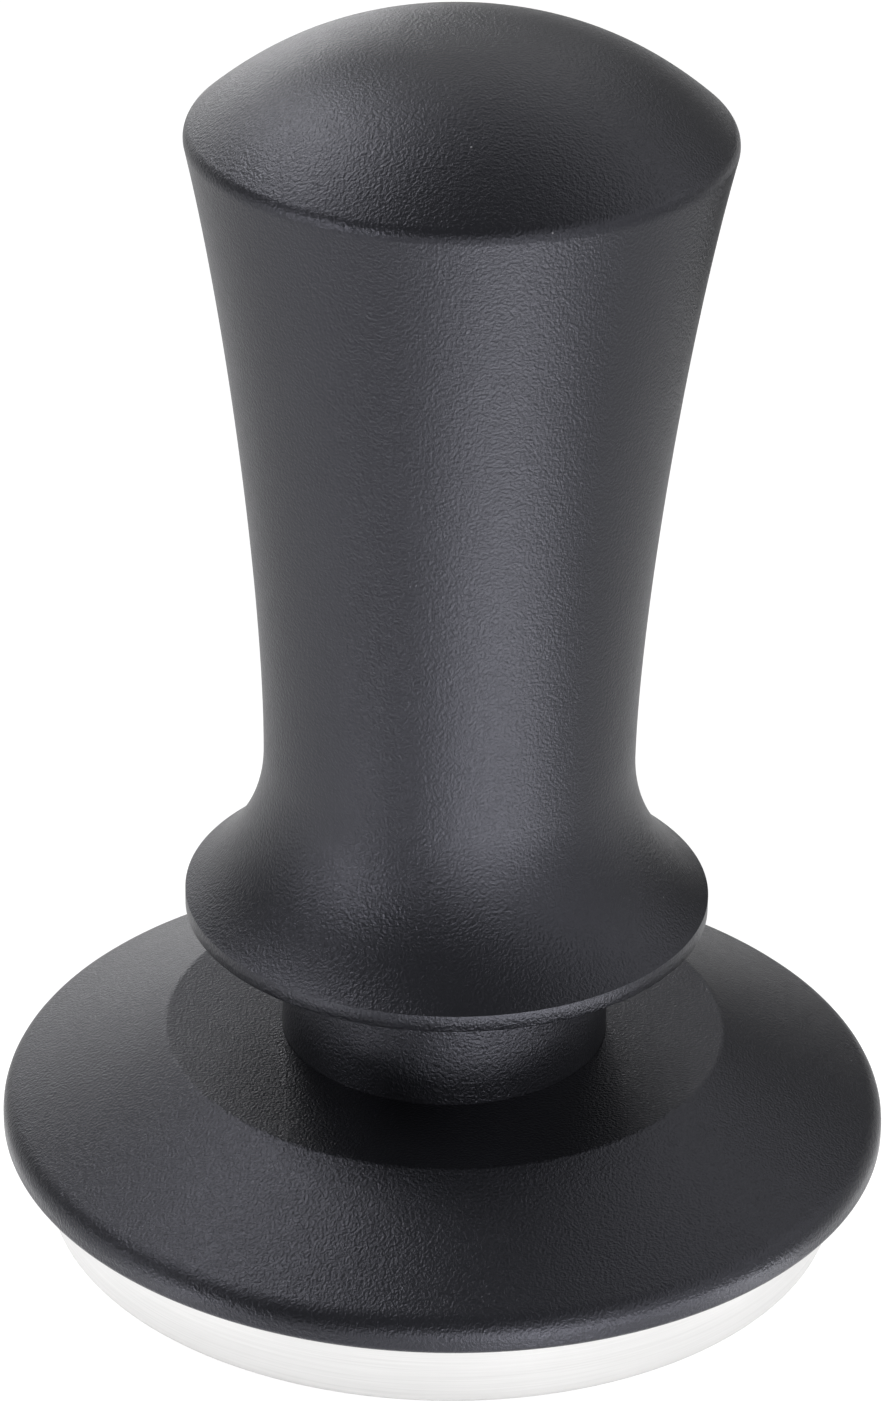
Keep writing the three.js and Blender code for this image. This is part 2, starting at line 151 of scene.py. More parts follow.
def turned(name, outline, segments=SEGMENTS, closed=True, centre=(0, 0)):
    """A mesh of revolution about an upright axis through centre.

    An outline that starts and ends on the axis isn't closed.
    """
    vertices = []
    rings = []
    sixth = math.pi / 3
    for r, z, *kind in outline:
        if r < ON_AXIS:
            rings.append([len(vertices)] * segments)
            vertices.append((centre[0] * MM, centre[1] * MM, z * MM))
            continue
        rings.append(list(range(len(vertices), len(vertices) + segments)))
        for s in range(segments):
            angle = 2 * math.pi * s / segments
            here_r = r / math.cos(angle % sixth - sixth / 2) if HEXAGON in kind else r
            x = centre[0] + here_r * math.cos(angle)
            y = centre[1] + here_r * math.sin(angle)
            vertices.append((x * MM, y * MM, z * MM))
    pairs = list(zip(rings, rings[1:]))
    if closed:
        pairs.append((rings[-1], rings[0]))
    faces = []
    for lower, upper in pairs:
        for s in range(segments):
            t = (s + 1) % segments
            corners = [lower[s], lower[t], upper[t], upper[s]]
            face = [v for k, v in enumerate(corners) if v not in corners[:k]]
            if len(face) > 2:
                faces.append(face)
    mesh = bpy.data.meshes.new(name)
    mesh.from_pydata(vertices, [], faces)
    return finish_mesh(name, mesh)


def cut_thread(piece, radius, bottom, top, pitch, depth, centre=(0, 0)):
    """Presses a helical thread into a wall that has rungs. A negative depth cuts outwards, into a bore."""
    wall_tolerance = 1e-3
    steepness = 1.25  # above 1, the groove has a flat bottom
    thread_smooth_angle = 50
    for vertex in piece.data.vertices:
        x = vertex.co.x / MM - centre[0]
        y = vertex.co.y / MM - centre[1]
        z = vertex.co.z / MM
        if abs(math.hypot(x, y) - radius) > wall_tolerance or not bottom <= z <= top:
            continue
        phase = (z / pitch - math.atan2(y, x) / (2 * math.pi)) % 1
        groove = min(1, steepness * (1 - abs(2 * phase - 1)))
        runout = min(1, (z - bottom) / pitch, (top - z) / pitch)
        share = 1 - depth * groove * runout / radius
        vertex.co.x = (centre[0] + x * share) * MM
        vertex.co.y = (centre[1] + y * share) * MM
    piece.data.set_sharp_from_angle(angle=math.radians(thread_smooth_angle))


def coil_spring(name, coil_r, wire_r, bottom, top, turns):
    """A compression spring with closed ends that are ground flat."""
    sides = 20
    steps_per_turn = 72
    closed_rise = 2.1 * wire_r  # how far the first turn and the last turn each climb
    sunk = 0.35 * wire_r  # how far above its seat the centre of the wire starts
    rise = top - bottom - 2 * sunk
    pitch = (rise - 2 * closed_rise) / (turns - 2)
    count = round(turns * steps_per_turn)
    vertices = []
    faces = []
    for i in range(count + 1):
        turn = turns * i / count
        if turn < 1:
            height = closed_rise * turn
        elif turn > turns - 1:
            height = rise - closed_rise * (turns - turn)
        else:
            height = closed_rise + pitch * (turn - 1)
        angle = 2 * math.pi * turn
        for k in range(sides):
            around = 2 * math.pi * k / sides
            r = coil_r + wire_r * math.cos(around)
            z = bottom + sunk + height + wire_r * math.sin(around)
            z = min(max(z, bottom), top)
            vertices.append((r * math.cos(angle) * MM, r * math.sin(angle) * MM, z * MM))
    for i in range(count):
        for k in range(sides):
            a, b = i * sides + k, i * sides + (k + 1) % sides
            faces.append((a, a + sides, b + sides, b))
    faces.append(tuple(range(sides)))
    faces.append(tuple(reversed(range(count * sides, (count + 1) * sides))))
    mesh = bpy.data.meshes.new(name)
    mesh.from_pydata(vertices, [], faces)
    return finish_mesh(name, mesh, smooth_angle=40)


def flat_plate(name, outline, bottom, top, edge):
    """A plate cut to an outline of (x, y) points, with eased edges."""
    level = 1e-7  # metres: an edge whose ends differ less in height lies flat
    shape = bmesh.new()
    face = shape.faces.new([shape.verts.new((x * MM, y * MM, bottom * MM)) for x, y in outline])
    made = bmesh.ops.extrude_face_region(shape, geom=[face])
    upper = [part for part in made["geom"] if isinstance(part, bmesh.types.BMVert)]
    bmesh.ops.translate(shape, verts=upper, vec=(0, 0, (top - bottom) * MM))
    bmesh.ops.recalc_face_normals(shape, faces=shape.faces)
    rims = [e for e in shape.edges if abs(e.verts[0].co.z - e.verts[1].co.z) < level]
    bmesh.ops.bevel(shape, geom=rims, offset=edge * MM, segments=2, profile=0.5, affect="EDGES")
    mesh = bpy.data.meshes.new(name)
    shape.to_mesh(mesh)
    shape.free()
    return finish_mesh(name, mesh)


def cut(piece, cutters):
    """Takes the cutters away from a piece, and removes them."""
    for cutter in cutters:
        modifier = piece.modifiers.new("cut", "BOOLEAN")
        modifier.object = cutter
        modifier.solver = "EXACT"
    result = piece.evaluated_get(bpy.context.evaluated_depsgraph_get())
    mesh = bpy.data.meshes.new_from_object(result)
    piece.modifiers.clear()
    piece.data = mesh
    mesh.shade_smooth()
    mesh.set_sharp_from_angle(angle=math.radians(SMOOTH_ANGLE))
    for cutter in cutters:
        bpy.data.objects.remove(cutter)


def dress(piece, body, material, *nodes):
    """Gives a piece its body and its finish, and hides the CAD nodes that it stands for."""
    piece.data.materials.clear()
    piece.data.materials.append(MATERIALS[material])
    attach(piece, body)
    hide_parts(*nodes)
    return piece


# --------------------------------------------------------------------------------------------- materials


class Nodes:
    """Short ways to add and join shader nodes in one material."""

    def __init__(self, name):
        self.material = bpy.data.materials.new(name)
        self.material.use_nodes = True
        self.tree = self.material.node_tree
        self.shader = self.tree.nodes["Principled BSDF"]

    def add(self, kind, **settings):
        node = self.tree.nodes.new(kind)
        for key, value in settings.items():
            setattr(node, key, value)
        return node

    def join(self, source, target):
        self.tree.links.new(source, target)

    def noise(self, vector, scale, detail=2.0, roughness=0.5):
        node = self.add("ShaderNodeTexNoise")
        node.inputs["Scale"].default_value = scale
        node.inputs["Detail"].default_value = detail
        node.inputs["Roughness"].default_value = roughness
        self.join(vector, node.inputs["Vector"])
        return node.outputs["Fac"]

    def math(self, operation, a, b=None):
        node = self.add("ShaderNodeMath", operation=operation)
        for socket, value in zip(node.inputs, (a, b)):
            if isinstance(value, (int, float)):
                socket.default_value = value
            elif value is not None:
                self.join(value, socket)
        return node.outputs[0]

    def between(self, factor, at_0, at_1):
        """A number that goes from at_0 to at_1 as factor goes from 0 to 1."""
        node = self.add("ShaderNodeMapRange")
        node.inputs["To Min"].default_value = at_0
        node.inputs["To Max"].default_value = at_1
        self.join(factor, node.inputs["Value"])
        return node.outputs["Result"]

    def tones(self, factor, dark, light):
        """A colour that goes from dark to light over the middle of a noise's range."""
        node = self.add("ShaderNodeValToRGB")
        for element, position, colour in zip(node.color_ramp.elements, (0.3, 0.7), (dark, light)):
            element.position = position
            element.color = (*colour, 1)
        self.join(factor, node.inputs["Fac"])
        return node.outputs["Color"]

    def bump(self, height, distance):
        node = self.add("ShaderNodeBump")
        node.inputs["Distance"].default_value = distance
        self.join(height, node.inputs["Height"])
        return node.outputs["Normal"]

    def place(self):
        return self.add("ShaderNodeTexCoord").outputs["Object"]

    def set(self, **values):
        for key, value in values.items():
            self.shader.inputs[key.replace("_", " ")].default_value = value


def black_anodised():
    """Bead-blasted and black-anodised aluminium: a fine pebble, some unevenness and a few dust specks."""
    n = Nodes("black_anodised")
    place = n.place()
    n.set(Metallic=0.0, IOR=1.6, Specular_Tint=(0.85, 0.855, 1.0, 1))
    cloud = n.noise(place, scale=90, detail=3)
    black = n.tones(cloud, (0.0085, 0.0088, 0.0105), (0.011, 0.0115, 0.0137))
    speck_size = 0.016  # in cells of the pattern
    dust = (0.22, 0.22, 0.23, 1)
    specks = n.add("ShaderNodeTexVoronoi")
    specks.inputs["Scale"].default_value = 190
    n.join(place, specks.inputs["Vector"])
    dusty = n.math("LESS_THAN", specks.outputs["Distance"], speck_size)
    mix = n.add("ShaderNodeMix", data_type="RGBA")
    n.join(dusty, mix.inputs["Factor"])
    n.join(black, mix.inputs["A"])
    mix.inputs["B"].default_value = dust
    n.join(mix.outputs["Result"], n.shader.inputs["Base Color"])
    polish = n.noise(place, scale=900, detail=1)
    n.join(n.between(polish, 0.26, 0.34), n.shader.inputs["Roughness"])
    pebble = n.noise(place, scale=4600, detail=2, roughness=0.6)
    n.join(n.bump(pebble, distance=0.00008), n.shader.inputs["Normal"])
    return n.material


def turned_steel():
    """Stainless steel with fine lathe lines that run round the axis."""
    n = Nodes("satin_steel")
    split = n.add("ShaderNodeSeparateXYZ")
    n.join(n.place(), split.inputs[0])
    x, y, z = split.outputs
    radius = n.math("SQRT", n.math("ADD", n.math("MULTIPLY", x, x), n.math("MULTIPLY", y, y)))
    least_radius = 1e-6  # so that nothing is divided by zero on the axis
    safe_radius = n.math("MAXIMUM", radius, least_radius)
    across = 9000  # lathe lines to the metre
    around = 3  # how often a line fades along its turn
    lines = n.add("ShaderNodeCombineXYZ")
    n.join(n.math("MULTIPLY", radius, across), lines.inputs[0])
    n.join(n.math("MULTIPLY", z, across), lines.inputs[1])
    n.join(n.math("MULTIPLY", n.math("DIVIDE", x, safe_radius), around), lines.inputs[2])
    streaks = n.add("ShaderNodeTexNoise", noise_dimensions="4D")
    streaks.inputs["Scale"].default_value = 1
    streaks.inputs["Detail"].default_value = 3
    n.join(lines.outputs[0], streaks.inputs["Vector"])
    n.join(n.math("MULTIPLY", n.math("DIVIDE", y, safe_radius), around), streaks.inputs["W"])
    streak = streaks.outputs["Fac"]
    n.set(Metallic=1.0)
    steel = n.tones(streak, (0.74, 0.735, 0.73), (0.82, 0.815, 0.81))
    n.join(steel, n.shader.inputs["Base Color"])
    n.join(n.between(streak, 0.27, 0.35), n.shader.inputs["Roughness"])
    n.join(n.bump(streak, distance=0.000003), n.shader.inputs["Normal"])
    return n.material


def uneven(name, colour, roughness, metallic, patches, shade, spread, grain, depth):
    """A finish that varies a little in colour and polish from patch to patch, over a fine grain."""
    n = Nodes(name)
    place = n.place()
    patch = n.noise(place, scale=patches, detail=3)
    dark = tuple(shade * c for c in colour)
    n.set(Metallic=metallic)
    n.join(n.tones(patch, dark, colour), n.shader.inputs["Base Color"])
    smoothest = roughness * (1 - spread)
    roughest = roughness * (1 + spread)
    n.join(n.between(patch, smoothest, roughest), n.shader.inputs["Roughness"])
    n.join(n.bump(n.noise(place, scale=grain), distance=depth), n.shader.inputs["Normal"])
    return n.material


def plain_metal(name, colour, roughness):
    """A machined metal for the hidden pieces."""
    look = {"patches": 700, "shade": 0.85, "spread": 0.2, "grain": 6000, "depth": 0.000004}
    return uneven(name, colour, roughness, metallic=1.0, **look)


def soft_plastic(name, colour, roughness):
    """A matt polymer or rubber."""
    look = {"patches": 1200, "shade": 0.8, "spread": 0.15, "grain": 8000, "depth": 0.000008}
    return uneven(name, colour, roughness, metallic=0.0, **look)


MATERIALS = {
    "black_anodised": black_anodised(),
    "satin_steel": turned_steel(),
    "spring_steel": plain_metal("spring_steel", (0.42, 0.43, 0.45), 0.32),
    "bronze": plain_metal("bronze", (0.62, 0.40, 0.18), 0.35),
    "white_polymer": soft_plastic("white_polymer", (0.82, 0.80, 0.75), 0.5),
    "black_rubber": soft_plastic("black_rubber", (0.02, 0.02, 0.021), 0.8),
}

# ------------------------------------------------------------------------------------------- the handle

SKIRT_R, SKIRT_BOTTOM, TOP = box_mm("handle_shell")
WAIST_R = 13.35
WAIST_BELOW_TOP = 54.42
WAIST_Z = TOP - WAIST_BELOW_TOP
FLARE_R = 13.75  # radius of the concave arc between the skirt and the waist
SHOULDER_R = 1.275  # radius of the edge between the side and the dome
SHOULDER_CENTRE_R = 17.68
SHOULDER_BELOW_TOP = 7.52
SIDE_LEAN = 12.8  # degrees from upright, where the side meets the shoulder
SIDE_PULLS = (11.5, 13.4)  # lengths of the side curve's handles, at the waist and at the shoulder
DOME_SLOPE = 48.5  # degrees: where the shoulder's arc ends and the dome begins
DOME_POWER = 2.488  # how flat the dome is near its centre

POST_R = 11.9
MOUTH_CLEARANCE = 0.3
MOUTH_R = POST_R + MOUTH_CLEARANCE
MOUTH_BELOW_WAIST = 1.55
NUT_OUTER_R, NUT_BOTTOM, NUT_TOP = box_mm("retaining_nut")
HANDLE_BORE_R = 10.7
SEAL_R, SEAL_BOTTOM, SEAL_TOP = box_mm("dust_seal")
FINE_PITCH = 0.75
FINE_DEPTH = 0.3
THREAD_PAST_NUT = 0.5  # how far the handle's thread goes on past each face of the nut


def handle_side():
    """The outer side, from the top edge of the skirt's rim up to the centre of the dome."""
    flare_centre = (WAIST_R + FLARE_R, WAIST_Z)
    skirt_angle = math.degrees(math.acos((flare_centre[0] - SKIRT_R) / FLARE_R))
    flare = arc(flare_centre, FLARE_R, 180 + skirt_angle, 180, steps=40)
    shoulder_centre = (SHOULDER_CENTRE_R, TOP - SHOULDER_BELOW_TOP)
    shoulder = arc(shoulder_centre, SHOULDER_R, -SIDE_LEAN, DOME_SLOPE, steps=20)
    lean = math.radians(SIDE_LEAN)
    r, z = shoulder[0]
    side = bezier(
        (WAIST_R, WAIST_Z),
        (WAIST_R, WAIST_Z + SIDE_PULLS[0]),
        (r - SIDE_PULLS[1] * math.sin(lean), z - SIDE_PULLS[1] * math.cos(lean)),
        (r, z),
        steps=80,
    )
    dome_r, dome_z = shoulder[-1]
    rings = 40
    dome = []
    for i in range(1, rings + 1):
        share = 1 - i / rings
        dome.append((dome_r * share, TOP - (TOP - dome_z) * share**DOME_POWER))
    return flare + side[1:-1] + shoulder + dome


def handle_bore():
    """The inside, from the closed top of the bore down to the mouth."""
    bore_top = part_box("preload_shim_2")[1].z / MM + GAP
    mouth_top = WAIST_Z - MOUTH_BELOW_WAIST
    groove_r = SEAL_R + GAP
    chamfer = 0.4
    return [
        (0, bore_top),
        (HANDLE_BORE_R, bore_top),
        (HANDLE_BORE_R, NUT_TOP + 2 * THREAD_PAST_NUT),
        *rungs(HANDLE_BORE_R, NUT_TOP + THREAD_PAST_NUT, NUT_BOTTOM - THREAD_PAST_NUT),
        (HANDLE_BORE_R, mouth_top),
        (MOUTH_R, mouth_top),
        (MOUTH_R, SEAL_TOP + GAP),
        (groove_r, SEAL_TOP + GAP),
        (groove_r, SEAL_BOTTOM - GAP),
        (MOUTH_R, SEAL_BOTTOM - GAP),
        (MOUTH_R, SKIRT_BOTTOM + chamfer),
        (MOUTH_R + chamfer, SKIRT_BOTTOM),
    ]


def make_handle():
    side = handle_side()
    edge = 0.1
    rim_top = side[0][1]
    rim = [
        (SKIRT_R - edge, SKIRT_BOTTOM),
        (SKIRT_R, SKIRT_BOTTOM + edge),
        (SKIRT_R, rim_top - edge),
    ]
    piece = turned("handle", handle_bore() + rim + side, segments=SEEN_SEGMENTS, closed=False)
    thread_bottom = NUT_BOTTOM - THREAD_PAST_NUT
    thread_top = NUT_TOP + THREAD_PAST_NUT
    cut_thread(piece, HANDLE_BORE_R, thread_bottom, thread_top, FINE_PITCH, -FINE_DEPTH)
    dress(piece, "handle", "black_anodised", "handle_shell")


# -------------------------------------------------------------------------- the collar, its post and base

COLLAR_R, COLLAR_BOTTOM, PLATEAU_Z = box_mm("levelling_collar")
BASE_R, BASE_BOTTOM, BOSS_TOP = box_mm("tamper_base")
PLATEAU_R = 20.5
PLATE_H = 3  # thickness of the collar's plate under its plateau
CONE_FOOT_R = 31.7
CONE_FOOT_Z = COLLAR_BOTTOM + 2.6
FLANGE_R, HUB_BOTTOM, HUB_TOP = box_mm("collar_hub")
BUSH_FLANGE_H = 1
HUB_FLOOR = box_mm("hub_guide_bush")[2] - BUSH_FLANGE_H - GAP
HUB_CUP_R = 9
SCREW_COUNT = 4
SCREW_RING_R = 14.9
SCREW_R = 1.2
SCREW_HEAD_R = 2.2
SCREW_CONE = 1
SCREW_TIP = box_mm("hub_screw_1")[2]
SCREW_CLEARANCE = 0.15
SCREW_PITCH = 0.4
PAST_FACE = 1  # how far a cutter goes past the face that it cuts


def screw_places():
    """The centres of the screws that hold the collar to its post, at equal angles."""
    for i in range(SCREW_COUNT):
        angle = 2 * math.pi * (i + 0.5) / SCREW_COUNT
        yield SCREW_RING_R * math.cos(angle), SCREW_RING_R * math.sin(angle)


def screw_holes(bottom, top):
    """Cutters for the countersunk holes."""
    outline = [
        (0, bottom),
        (SCREW_HEAD_R + SCREW_CLEARANCE, bottom),
        (SCREW_HEAD_R + SCREW_CLEARANCE, HUB_BOTTOM),
        (SCREW_R + SCREW_CLEARANCE, HUB_BOTTOM + SCREW_CONE),
        (SCREW_R + SCREW_CLEARANCE, top),
        (0, top),
    ]
    holes = []
    for place in screw_places():
        holes.append(turned("hole", outline, segments=SCREW_SEGMENTS, closed=False, centre=place))
    return holes


def make_collar():
    base_clearance = 0.325
    post_fit = 0.02
    wall = 1.9
    rim_corner_drop = 0.35  # from the cone's foot down to the corner that the rim's big fillet rounds
    hole_past_tip = 0.2
    inner_r = BASE_R + base_clearance
    bore_r = POST_R + post_fit
    underside = PLATEAU_Z - PLATE_H
    slope = (PLATEAU_Z - CONE_FOOT_Z) / (CONE_FOOT_R - PLATEAU_R)
    roof = CONE_FOOT_Z + (CONE_FOOT_R - inner_r) * slope - wall
    outline = rounded(
        [
            (inner_r, COLLAR_BOTTOM, 0.15),
            (COLLAR_R, COLLAR_BOTTOM, 0.4),
            (COLLAR_R, CONE_FOOT_Z - rim_corner_drop, 1.9),
            (PLATEAU_R, PLATEAU_Z, 0.9),
            (bore_r, PLATEAU_Z, 0),
            (bore_r, underside, 0),
            (inner_r - (underside - roof) / slope, underside, 0.3),
            (inner_r, roof, 0.5),
        ]
    )
    piece = turned("levelling_collar_plate", outline, segments=SEEN_SEGMENTS)
    cut(piece, screw_holes(HUB_BOTTOM - PAST_FACE, SCREW_TIP + hole_past_tip))
    dress(piece, "collar", "black_anodised", "levelling_collar")


def make_post():
    flange_top = PLATEAU_Z - PLATE_H - GAP
    bore_r = 7.5
    outline = rounded(
        [
            (bore_r, HUB_BOTTOM, 0.1),
            (FLANGE_R, HUB_BOTTOM, 0.2),
            (FLANGE_R, flange_top, 0.2),
            (POST_R, flange_top, 0),
            (POST_R, HUB_TOP, 0.3),
            (HUB_CUP_R, HUB_TOP, 0.3),
            (HUB_CUP_R, HUB_FLOOR, 0.1),
            (bore_r, HUB_FLOOR, 0.1),
        ]
    )
    piece = turned("collar_post", outline, segments=SEEN_SEGMENTS)
    cut(piece, screw_holes(HUB_BOTTOM - PAST_FACE, flange_top + PAST_FACE))
    dress(piece, "collar", "black_anodised", "collar_hub")


def make_screws():
    """Countersunk hexagon-socket screws with their heads downwards."""
    head = box_mm("hub_screw_1")[1]
    head_edge = 0.08
    socket_r = 0.75
    socket_depth = 0.8
    shank = HUB_BOTTOM + SCREW_CONE  # the height where the thread takes over from the cone
    lead = 0.05
    tip_chamfer = 0.25
    outline = [
        (0, head + socket_depth),
        (socket_r, head + socket_depth, HEXAGON),
        (socket_r, head, HEXAGON),
        (SCREW_HEAD_R - head_edge, head),
        (SCREW_HEAD_R, head + head_edge),
        (SCREW_R, shank),
        *rungs(SCREW_R, shank + lead, SCREW_TIP - tip_chamfer, step=0.06),
        (SCREW_R - tip_chamfer, SCREW_TIP),
        (0, SCREW_TIP),
    ]
    for i, place in enumerate(screw_places(), start=1):
        piece = turned(f"collar_screw_{i}", outline, segments=SCREW_SEGMENTS, closed=False, centre=place)
        cut_thread(piece, SCREW_R, shank + 2 * lead, SCREW_TIP, SCREW_PITCH, 0.2, centre=place)
        dress(piece, "collar", "spring_steel", f"hub_screw_{i}")


STUD_HOLE_R = 4.1
STUD_HOLE_BOTTOM = 1.8
STUD_HOLE_THREAD = 0.3  # depth of the thread in its wall
STUD_PITCH = 1


def make_base():
    """The steel base, with a low boss round the stud's threaded hole."""
    boss_h = 0.4
    boss_r = 10
    boss_slant = 0.2
    chamfer = 0.4
    top = BOSS_TOP - boss_h
    rim = rounded(
        [
            (0, BASE_BOTTOM, 0),
            (BASE_R, BASE_BOTTOM, 0.35),
            (BASE_R, top, 0.4),
            (boss_r + boss_slant, top, 0),
        ]
    )
    boss = [
        (boss_r - boss_slant, BOSS_TOP),
        (STUD_HOLE_R + chamfer, BOSS_TOP),
        *rungs(STUD_HOLE_R, BOSS_TOP - chamfer, STUD_HOLE_BOTTOM),
        (0, STUD_HOLE_BOTTOM),
    ]
    piece = turned("steel_base", rim + boss, segments=SEEN_SEGMENTS, closed=False)
    cut_thread(piece, STUD_HOLE_R, STUD_HOLE_BOTTOM, BOSS_TOP, STUD_PITCH, -STUD_HOLE_THREAD)
    dress(piece, "base", "satin_steel", "tamper_base")


# ----------------------------------------------------------------------------- the mechanism inside them

SPINDLE_R = 5.5
SPINDLE_FIT = 0.15
STUD_R = 4
STUD_FIT = 0.2
BORE_R = SPINDLE_R + SPINDLE_FIT  # of whatever slides on the spindle
SHIM_BORE_R = 4
CLIP_GROOVE_R = 4.6
WEAR_GROOVE_R = 8.9
BUSH_R = 7.4


def block(size, centre, tilt=0):
    """A box-shaped cutter, tilted about X in degrees."""
    shape = bmesh.new()
    bmesh.ops.create_cube(shape, size=MM)
    place = Matrix.Translation(Vector(centre) * MM) @ Matrix.Rotation(math.radians(tilt), 4, "X")
    bmesh.ops.transform(shape, matrix=place @ Matrix.Diagonal((*size, 1)), verts=shape.verts)
    mesh = bpy.data.meshes.new("block")
    shape.to_mesh(mesh)
    shape.free()
    cutter = bpy.data.objects.new("block", mesh)
    bpy.context.scene.collection.objects.link(cutter)
    return cutter


def make_spindle():
    """The threaded stud, the clip groove, the piston with its wear-ring groove, and the guide rod."""
    piston_r, stud_bottom, rod_top = box_mm("spindle")
    shoulder = box_mm("lock_washer")[2] + GAP
    _, clip_bottom, clip_top = box_mm("retaining_clip")
    _, wear_bottom, wear_top = box_mm("piston_wear_ring")
    piston_bottom = box_mm("handle_guide_bush")[2] + GAP
    piston_top = box_mm("thrust_washer")[1] - GAP
    edge = 0.25
    stud_taper = 0.6
    thread_bottom = stud_bottom + 0.5
    thread_top = shoulder - 1
    undercut = 0.6
    undercut_h = 0.7
    rod_chamfer = 0.8
    socket_r = 2.5
    socket_bottom = rod_top - 5
    socket_ease = 0.6
    outline = [
        (0, stud_bottom),
        (STUD_R - stud_taper, stud_bottom),
        *rungs(STUD_R, thread_bottom, thread_top),
        (STUD_R - undercut, shoulder - undercut_h),
        (STUD_R - undercut, shoulder),
        (SPINDLE_R - edge, shoulder),
        (SPINDLE_R, shoulder + edge),
        (SPINDLE_R, clip_bottom - GAP),
        (CLIP_GROOVE_R, clip_bottom - GAP),
        (CLIP_GROOVE_R, clip_top + GAP),
        (SPINDLE_R, clip_top + GAP),
        (SPINDLE_R, piston_bottom),
        (piston_r - edge, piston_bottom),
        (piston_r, piston_bottom + edge),
        (piston_r, wear_bottom - GAP),
        (WEAR_GROOVE_R, wear_bottom - GAP),
        (WEAR_GROOVE_R, wear_top + GAP),
        (piston_r, wear_top + GAP),
        (piston_r, piston_top - edge),
        (piston_r - edge, piston_top),
        (SPINDLE_R, piston_top),
        (SPINDLE_R, rod_top - rod_chamfer),
        (SPINDLE_R - rod_chamfer, rod_top),
        (socket_r + socket_ease, rod_top),
        (socket_r, rod_top - socket_ease / 2, HEXAGON),
        (socket_r, socket_bottom, HEXAGON),
        (0, socket_bottom),
    ]
    piece = turned("spindle_rod", outline, closed=False)
    cut_thread(piece, STUD_R, stud_bottom, thread_top, STUD_PITCH, depth=0.5)
    dress(piece, "base", "satin_steel", "spindle")


def make_washer(name, node, body, material, inner_r, fillet=WASHER_FILLET):
    """A flat ring as wide and as thick as its CAD node."""
    outer_r, bottom, top = box_mm(node)
    piece = turned(name, ring_outline(inner_r, outer_r, bottom, top, fillet))
    return dress(piece, body, material, node)


def make_lock_washer():
    """A wedge-lock washer, with radial ramps on both faces."""
    ramps = 24
    depth = 0.3  # as a share of half the washer's thickness
    ramp_smooth_angle = 20
    bore_r = STUD_R + STUD_FIT
    piece = make_washer("wedge_lock_washer", "lock_washer", "base", "spring_steel", bore_r, THIN_FILLET)
    low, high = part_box("lock_washer")
    middle = (low.z + high.z) / 2
    for vertex in piece.data.vertices:
        phase = math.atan2(vertex.co.y, vertex.co.x) / (2 * math.pi) * ramps % 1
        vertex.co.z += (middle - vertex.co.z) * depth * phase
    piece.data.set_sharp_from_angle(angle=math.radians(ramp_smooth_angle))


def make_clip():
    """A retaining clip with three lugs that reach into the spindle's groove. Angles are in degrees."""
    outer_r, bottom, top = box_mm("retaining_clip")
    mouth = 70
    lugs = (60, 180, 300)
    lug_half = 13
    ramp = 8  # how much angle a lug's flank takes
    relief = 1.5  # how far the inner side stands back between the lugs
    step = 2
    outside = arc((0, 0), outer_r, mouth / 2, 360 - mouth / 2, steps=72)
    inside = []
    for degrees in range(360 - mouth // 2, mouth // 2 - 1, -step):
        away = min(abs(degrees - lug) for lug in lugs)
        r = CLIP_GROOVE_R + GAP + relief * min(1, max(0, (away - lug_half) / ramp))
        inside.append((r * math.cos(math.radians(degrees)), r * math.sin(math.radians(degrees))))
    piece = flat_plate("spindle_clip", outside + inside, bottom, top, edge=0.1)
    dress(piece, "base", "spring_steel", "retaining_clip")


def make_bumper():
    """A rubber ring with a round cord."""
    outer_r, bottom, top = box_mm("bumper_ring")
    sides = 24
    cord_r = (top - bottom) / 2
    cord = arc((outer_r - cord_r, bottom + cord_r), cord_r, 0, 360 - 360 / sides, steps=sides - 1)
    piece = turned("rubber_bumper", cord)
    dress(piece, "base", "black_rubber", "bumper_ring")


def make_wear_ring():
    """The piston's guide ring, with the slanting split that lets it be sprung into its groove."""
    outer_r, bottom, top = box_mm("piston_wear_ring")
    split_size = (4, 0.4, 6)  # only the width counts: the rest goes past the ring
    piece = turned("wear_ring", ring_outline(WEAR_GROOVE_R + GAP, outer_r, bottom, top, 0.15))
    cut(piece, [block(split_size, (outer_r, 0, (bottom + top) / 2), tilt=45)])
    dress(piece, "base", "white_polymer", "piston_wear_ring")


def make_bush(name, node, body, bottom_of_flange):
    """A flanged bush with two oil grooves in its bore."""
    flange_r, bottom, top = box_mm(node)
    edge = 0.2
    groove = 0.3
    groove_shares = (0.7, 0.35)  # of the bush's height
    bore = []
    for share in groove_shares:
        z = bottom + (top - bottom) * share
        bore += [(BORE_R, z + groove), (BORE_R + groove, z), (BORE_R, z - groove)]
    outline = [
        (BORE_R + edge, bottom),
        (BUSH_R - edge, bottom),
        (BUSH_R, bottom + edge),
        (BUSH_R, bottom_of_flange),
        (flange_r - edge, bottom_of_flange),
        (flange_r, bottom_of_flange + edge),
        (flange_r, top - edge),
        (flange_r - edge, top),
        (BORE_R + edge, top),
        (BORE_R, top - edge),
        *bore,
        (BORE_R, bottom + edge),
    ]
    dress(turned(name, outline), body, "bronze", node)


def make_spring(name, node, body, coil_r, wire_r, turns):
    """A spring that rides on its seat."""
    _, bottom, top = box_mm(node)
    piece = coil_spring(name, coil_r, wire_r, bottom, top, turns)
    dress(piece, body, "spring_steel", node)
    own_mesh(piece)


def make_springs():
    make_spring(
        "return_spring",
        "collar_return_spring",
        "return_spring_seat",
        coil_r=7.2,
        wire_r=0.6,
        turns=6,
    )
    make_spring(
        "calibrated_spring",
        "main_spring",
        "main_spring_seat",
        coil_r=7.6,
        wire_r=1.1,
        turns=7.5,
    )


